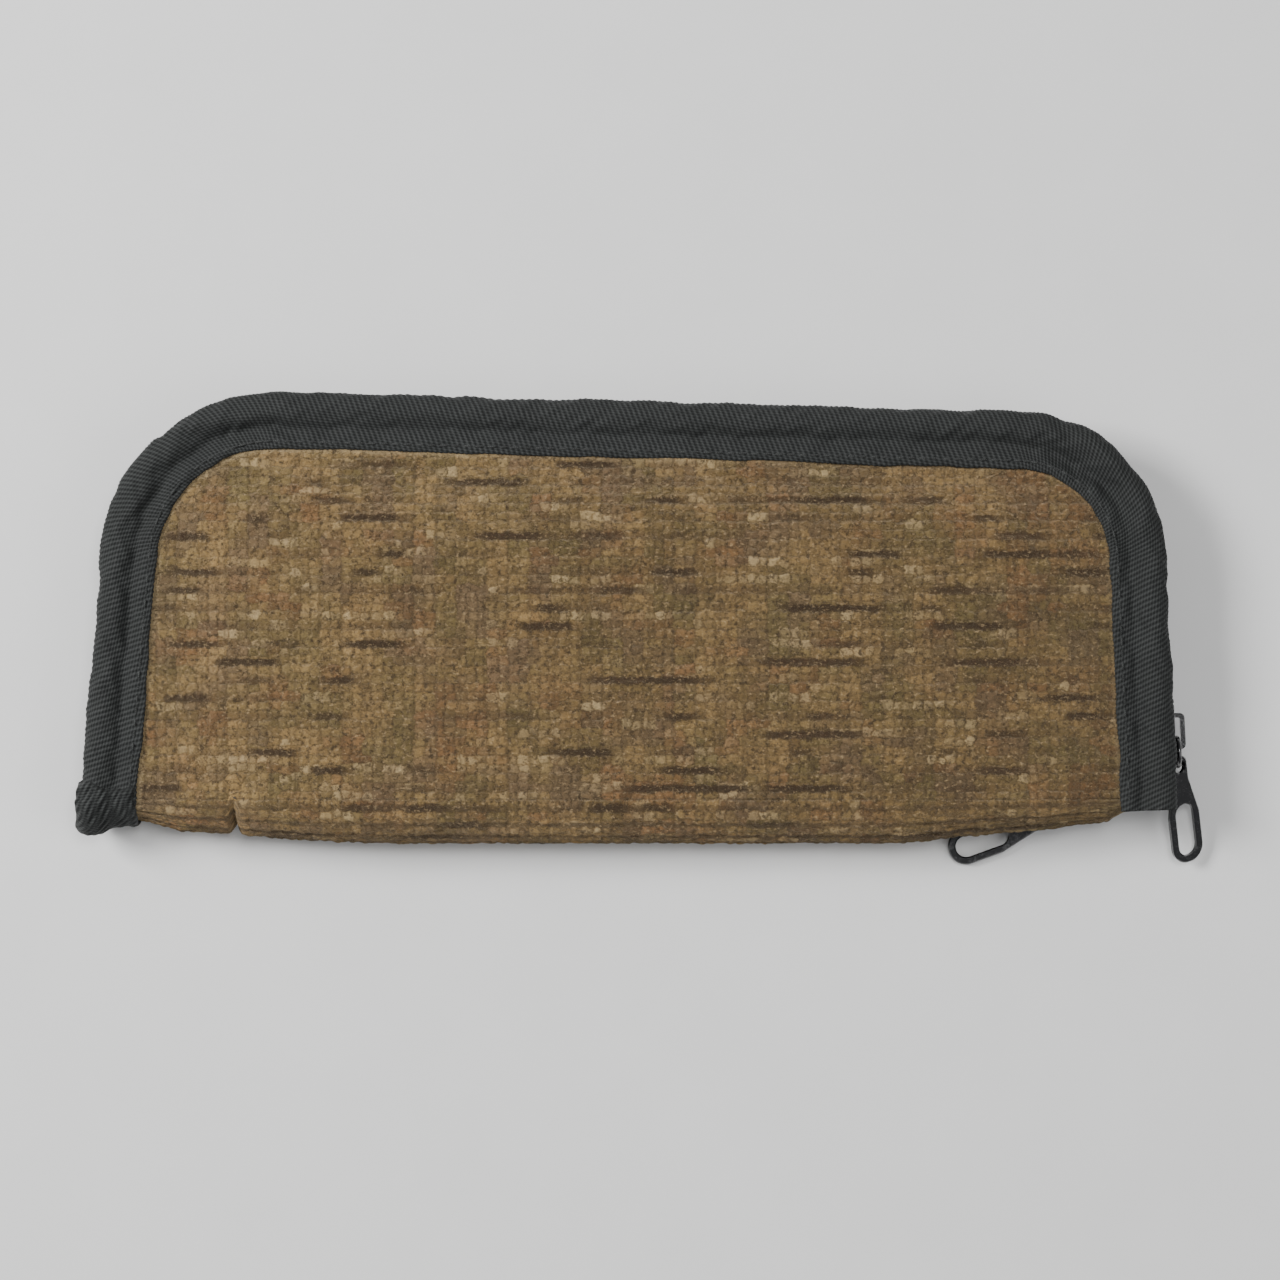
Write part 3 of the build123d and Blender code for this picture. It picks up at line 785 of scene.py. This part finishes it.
def make_binding(side, left_y, right_y):
    """The folded tape round a half's edge, from the left foot to the right one."""
    s, path, tangent, inward = outline(0.42, left_y, right_y)
    section, w = dense_profile()
    total = s[-1]
    corner = bend(s, total)
    wave = 0.35 * noise(s / 11.0, 0 * s, 31) + 0.25 * noise(s / 4.5, 0 * s, 32)
    inset = np.broadcast_to(section[:, 0][None, :], (len(s), len(w))).copy()
    height = np.broadcast_to(section[:, 1][None, :], inset.shape).copy()
    # the furrow wanders and deepens round the corners; the flange's edge waves a little
    furrow = np.exp(-(((w[None, :] - 5.2 - 0.9 * noise(s / 14.0, 0 * s, 33)[:, None]) / 1.5) ** 2))
    depth = 0.35 + 0.9 * corner + 0.35 * noise(s / 7.0, 0 * s, 34)
    height -= furrow * depth[:, None] * 0.6
    flange = smooth((2.5 - w) / 2.5)[None, :]
    inset += flange * wave[:, None] * 0.8
    ss, ww = np.meshgrid(s, w, indexing="ij")
    relief = binding_relief(ss, ww, total)
    step = np.roll(section, -1, axis=0) - np.roll(section, 1, axis=0)
    step /= np.linalg.norm(step, axis=1)[:, None]
    out = np.stack([step[:, 1], -step[:, 0]], axis=1)
    if (section - section.mean(axis=0))[10] @ out[10] < 0:  # the relief stands outwards
        out = -out
    inset += relief * out[None, :, 0]
    height += relief * out[None, :, 1]
    z = RIM_MIDDLE - height if side == "back" else 2 * MID_Z - RIM_MIDDLE + height
    xy = path[:, None, :] + inward[:, None, :] * inset[:, :, None]
    points = np.concatenate([xy, z[:, :, None]], axis=2)
    rows, columns = points.shape[:2]
    flip = side == "back"
    if side == "back":  # it stops short of the notch for the zipper's tail
        notch = (points[:, :, 0].mean(axis=1) > 90) & (points[:, :, 1].mean(axis=1) < -34.0)
        rows -= int(notch.sum())
        points, ss, ww = points[:rows], ss[:rows], ww[:rows]
    first = tuple(range(columns))
    last = tuple(range((rows - 1) * columns, rows * columns))
    faces = grid_faces(rows, columns, 0, True, flip)
    faces += [first, last[::-1]] if flip else [first[::-1], last]
    piece = mesh_piece(side + "_binding_tape", points.reshape(-1, 3), faces, BINDING_TAPE,
                       side, [side + "_binding"])
    store(piece, "tape", np.stack([ss.ravel(), ww.ravel()], axis=1))
    make_stitches(side, s, path, tangent, right_y)


def make_stitches(side, s, path, tangent, right_y):
    """The seam's thread: short sunk stitches along the flange."""
    points, faces, tape = [], [], []
    ring = 8
    lowest = -33.6 if side == "back" else right_y + 0.8
    for at in np.arange(2.0, s[-1] - 1.0, 2.6):
        middle = np.array([np.interp(at, s, path[:, k]) for k in (0, 1)])
        along = np.array([np.interp(at, s, tangent[:, k]) for k in (0, 1)])
        into = np.array([along[1], -along[0]])
        if middle[0] > 90 and middle[1] < lowest:
            continue
        centre = middle + into * 10.9
        first = len(points)
        for t in np.linspace(-1, 1, 7):
            sag = 0.16 * (1 - t * t) - 0.10
            radius = 0.24 * math.sqrt(max(0.05, 1 - t ** 4))
            for a in np.linspace(0, 2 * math.pi, ring, endpoint=False):
                spot = centre + along * t * 0.95 + into * radius * math.cos(a)
                z = 1.45 + sag + radius * math.sin(a)
                z = RIM_MIDDLE - z if side == "back" else 2 * MID_Z - RIM_MIDDLE + z
                points.append((spot[0], spot[1], z))
                tape.append((at + t, a * 0.24))
        faces += grid_faces(7, ring, first, True, side == "back")
    piece = mesh_piece(side + "_seam_thread", points, faces, SEAM_THREAD, side)
    store(piece, "tape", np.array(tape))


def make_left_end():
    """The tape carried round the fold's left end: a pinched, ribbed tab whose turned-under
    end laps over the front binding."""
    turns = np.concatenate([np.linspace(0, 1, 84), np.linspace(1.01, 1.22, 16)])
    section, w = dense_profile()
    across = TAPE_POINTS
    u = turns[:, None]
    angle = np.minimum(u, 1.0) * math.pi
    lap = np.maximum(u - 1.0, 0.0) * 24.0
    inset = np.broadcast_to(section[:, 0][None, :], (len(turns), across)).copy()
    height = np.broadcast_to(section[:, 1][None, :], inset.shape).copy()
    ss = np.broadcast_to(u * 24.0, inset.shape)
    ww = np.broadcast_to(w[None, :], inset.shape)
    ribs = 0.26 * np.sin(2 * math.pi * (inset - 0.75 * ss) / 1.75)
    gather = 0.40 * noise(inset / 2.3 - ss / 5.0, ss / 3.5, 41)
    relief = (ribs + gather) * np.where(ww < 18.0, 1.0, 0.0) * smooth(ww / 1.5)
    # the lap stands over the front binding and its end rolls under along a crooked line
    over = smooth((u - 0.72) / 0.28) * np.where(ww < 20.0, 1.0, 0.0)
    reach_up = 3.6 + 1.1 * np.sin(inset * 0.55) + 0.7 * noise(inset / 3.0, 0 * inset, 43)
    rolled = smooth((lap - reach_up + 1.6) / 1.6)
    roll = 0.5 * np.exp(-(((lap - reach_up + 1.7) / 0.9) ** 2))
    relief = relief + over * (0.85 + roll - 2.6 * rolled)
    base = MID_Z - RIM_MIDDLE
    flare = 2.6 * np.sin(angle) ** 0.6 * smooth((11.0 - inset) / 10.0)
    radius_z = base + height + relief
    reach = 0.88 * base + 0.82 * (height + relief) + 0.5 * flare
    x = side_x(SPINE_Y, False) + inset - 0.55 * flare + 0.25 * np.sin(angle * 3) - 0.8 * over
    y = SPINE_Y - reach * np.sin(angle) + np.minimum(lap, reach_up)
    x = x + 0.085 * np.minimum(lap, reach_up)
    z = MID_Z - radius_z * np.cos(angle)
    points = np.stack([x, y, z], axis=2)
    faces = grid_faces(len(turns), across, 0, True, False)
    faces.append(tuple(range(across))[::-1])
    faces.append(tuple(range((len(turns) - 1) * across, len(turns) * across)))
    piece = mesh_piece("left_end_tape", points.reshape(-1, 3), faces, BINDING_TAPE,
                       None, ["left_end_binding"])
    store(piece, "tape", np.stack([inset.ravel(), -ss.ravel()], axis=1))
    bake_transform(piece)


# ---------------------------------------------------------------- lining
def make_linings():
    """A lining sheet in each half, and a half-round one inside the fold."""
    xs = np.arange(-112.0, 113.0, 1.0)
    ys = np.arange(SPINE_Y, 44.0, 1.0)
    x, y = np.meshgrid(xs, ys)
    z = LINING_Z + 0.10 * noise(x / 9.0, y / 9.0, 51) - 0.05
    quads_in = edge_inset(x[:-1, :-1] + 0.5, y[:-1, :-1] + 0.5) > 3.0
    for side in ("back", "front"):
        keep = quads_in.copy()
        if side == "back":  # notched for the zipper's tail
            keep &= ~((x[:-1, :-1] > 88.5) & (y[:-1, :-1] < -34.5))
        height = z if side == "back" else 2 * MID_Z - z
        points = np.stack([x, y, height], axis=2)
        cloth = np.stack([x, y], axis=2)
        name = side + "_lining_cloth"
        piece = trimmed(points, cloth, keep, name, LINING, side == "front")
        close_under(piece, 0.25)
        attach(piece, side)
        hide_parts(side + "_lining")
    columns = np.arange(-112.0, SLIT_X + 0.1, 1.0)
    rows = 25
    turn = np.linspace(0, 1, rows)[:, None] * math.pi
    x = np.broadcast_to(columns[None, :], (rows, len(columns)))
    shrink = np.minimum(1.0, (fold_reach(x) - 1.2) / 6.0)
    radius = (MID_Z - LINING_Z) * np.clip(shrink, 0.5, 1.0) * (1 - 0.45 * dart(x))
    y = SPINE_Y - radius * np.sin(turn)
    z = MID_Z - (MID_Z - LINING_Z) * np.cos(turn) + 0 * x
    points = np.stack([x, y, z], axis=2)
    cloth = np.stack([x, 5.0 * turn + 0 * x], axis=2)
    keep = np.ones((rows - 1, len(columns) - 1), bool)
    piece = trimmed(points, cloth, keep, "fold_lining_cloth", LINING, True)
    close_under(piece, 0.25)
    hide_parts("fold_lining")
    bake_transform(piece)


# ---------------------------------------------------------------- zipper
def coil_points(path, outward, z_low, z_high, pitch=1.25):
    """One half of a coil chain: a flattened helix along a path, as a tube."""
    run = np.concatenate([[0], np.cumsum(np.linalg.norm(np.diff(path, axis=0), axis=1))])
    t = np.arange(0, run[-1], pitch / 18)
    centre = np.stack([np.interp(t, run, path[:, k]) for k in range(path.shape[1])], axis=1)
    out = np.stack([np.interp(t, run, outward[:, k]) for k in range(outward.shape[1])], axis=1)
    turn = 2 * math.pi * t / pitch
    z_mid, z_half = (z_low + z_high) / 2, (z_high - z_low) / 2 - COIL_WIRE
    reach = np.sign(np.sin(turn)) * np.abs(np.sin(turn)) ** 0.7 * (COIL_DEPTH / 2 - COIL_WIRE)
    line = np.zeros((len(t), 3))
    line[:, :2] = centre + out * reach[:, None]
    line[:, 2] = z_mid + z_half * np.cos(turn)
    return line


def tube(line, radius, ring=6):
    """Points and quads of a round tube that follows a line."""
    d = np.gradient(line, axis=0)
    d /= np.maximum(np.linalg.norm(d, axis=1), 1e-9)[:, None]
    side = np.cross(d, np.array([0.31, 0.17, 0.93]))
    side /= np.maximum(np.linalg.norm(side, axis=1), 1e-9)[:, None]
    up = np.cross(side, d)
    angles = np.linspace(0, 2 * math.pi, ring, endpoint=False)
    cos, sin = np.cos(angles)[None, :, None], np.sin(angles)[None, :, None]
    points = line[:, None, :] + radius * (cos * side[:, None, :] + sin * up[:, None, :])
    faces = grid_faces(len(line), ring, 0, True, False)
    faces.append(tuple(range(ring))[::-1])
    faces.append(tuple(range((len(line) - 1) * ring, len(line) * ring)))
    return points.reshape(-1, 3), faces


def make_zipper_halves():
    """Each half's coil and tape, which end at the right on slider A's side."""
    for side, right_end in (("back", -32.5), ("front", -14.5)):
        _, path, _, inward = outline(0.8, SPINE_Y + 3.2, right_end)
        low, high = 7.1, 9.35
        if side == "front":
            low, high = 2 * MID_Z - high, 2 * MID_Z - low
        points, faces = tube(coil_points(path + inward * 2.4, inward, low, high), COIL_WIRE)
        mesh_piece(side + "_coil", points, faces, COIL, side, [side + "_zipper_coil"])
        make_zip_tape(side, right_end)


def make_zip_tape(side, right_end):
    """The woven tape: flat under the binding, then upright beside the coil."""
    s, path, _, inward = outline(0.8, SPINE_Y + 0.1, right_end)
    legs = [
        (12.4, 6.3), (12.4, 5.85), (8.0, 5.85), (3.7, 5.85),
        (3.65, 9.3), (4.05, 9.3), (4.1, 6.3), (8.0, 6.3),
    ]
    section = []
    for a, b in zip(legs, legs[1:] + legs[:1]):
        for t in np.linspace(0, 1, 5)[:-1]:
            section.append((a[0] + (b[0] - a[0]) * t, a[1] + (b[1] - a[1]) * t))
    section = np.array(section)
    z = section[:, 1] if side == "back" else 2 * MID_Z - section[:, 1]
    xy = path[:, None, :] + inward[:, None, :] * section[:, 0][None, :, None]
    z = np.broadcast_to(z[None, :], xy.shape[:2])
    points = np.concatenate([xy, z[:, :, None]], axis=2)
    rows, columns = points.shape[:2]
    faces = grid_faces(rows, columns, 0, True, side == "front")
    faces.append(tuple(range(columns)))
    faces.append(tuple(range((rows - 1) * columns, rows * columns))[::-1])
    piece = mesh_piece(side + "_zip_tape", points.reshape(-1, 3), faces, ZIP_TAPE,
                       side, [side + "_zipper_tape"], sharp=True)
    ss, ww = np.meshgrid(s, section[:, 0] + section[:, 1], indexing="ij")
    store(piece, "tape", np.stack([ss.ravel(), ww.ravel()], axis=1))


def make_tail():
    """The zipper's tail coils, one helix each."""
    for name in ("lower", "upper"):
        node = "zipper_tail_coil_" + name
        low, high = (np.array(c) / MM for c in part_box(node))
        turn = math.radians(9.0)  # the tail runs up to the right
        run = np.array([math.cos(turn), math.sin(turn)])
        out = np.array([math.sin(turn), -math.cos(turn)])
        middle = (low[:2] + high[:2]) / 2
        path = np.array([middle - run * 8.4, middle + run * 8.4])
        line = coil_points(path, np.array([out, out]), low[2], high[2])
        points, faces = tube(line, COIL_WIRE)
        mesh_piece("tail_coil_" + name, points, faces, COIL, "back", [node])


def finish_cad_nodes():
    """CAD nodes that stay take their detailed materials."""
    looks = {
        "slider": ENAMEL,
        "zipper_right_stop": ENAMEL,
        "zipper_left_stop": ENAMEL,
        "zipper_tail_tape": ZIP_PLAIN,
        "zipper_corner_tape": ZIP_PLAIN,
    }
    for name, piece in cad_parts.items():
        for key, material in looks.items():
            if name.startswith(key):
                for slot in piece.material_slots:
                    slot.material = material


# ---------------------------------------------------------------- stage
def make_stage():
    """A pale floor under the case, the camera straight above it, and soft studio lights."""
    mesh = bpy.data.meshes.new("floor")
    half = 3.0
    corners = [(-half, -half, 0), (half, -half, 0), (half, half, 0), (-half, half, 0)]
    mesh.from_pydata(corners, [], [(0, 1, 2, 3)])
    floor = bpy.data.objects.new("floor", mesh)
    bpy.context.collection.objects.link(floor)
    floor.data.materials.append(floor_material())

    camera = bpy.data.objects.new("camera", bpy.data.cameras.new("camera"))
    bpy.context.collection.objects.link(camera)
    camera.location = (0.00315, -0.0050, 0.900)
    camera.data.lens = 114.5
    camera.data.sensor_width = 36.0
    camera.data.clip_end = 20.0
    bpy.context.scene.camera = camera

    for name, place, power, size in (
        ("key", (-0.80, 0.30, 0.80), 19.0, 0.42),
        ("fill", (0.95, -0.25, 1.05), 5.0, 0.9),
        ("top", (0.12, 0.22, 1.35), 8.0, 0.35),
    ):
        light = bpy.data.lights.new(name, "AREA")
        light.energy = power
        light.size = size
        lamp = bpy.data.objects.new(name, light)
        bpy.context.collection.objects.link(lamp)
        lamp.location = place
        lamp.rotation_euler = (-Vector(place)).to_track_quat("-Z", "Y").to_euler()

    world = bpy.data.worlds.new("studio")
    bpy.context.scene.world = world
    world.use_nodes = True
    background = world.node_tree.nodes["Background"]
    background.inputs[0].default_value = (0.97, 0.98, 1.0, 1.0)
    background.inputs[1].default_value = 0.30


make_stage()
for half in ("back", "front"):
    make_panel(half)
    make_lip(half)
make_fold()
make_binding("front", SPINE_Y, BINDING_END_RIGHT)
make_binding("back", SPINE_Y, BINDING_END_RIGHT)
make_left_end()
make_linings()
make_zipper_halves()
make_tail()
finish_cad_nodes()

bpy.context.view_layer.update()
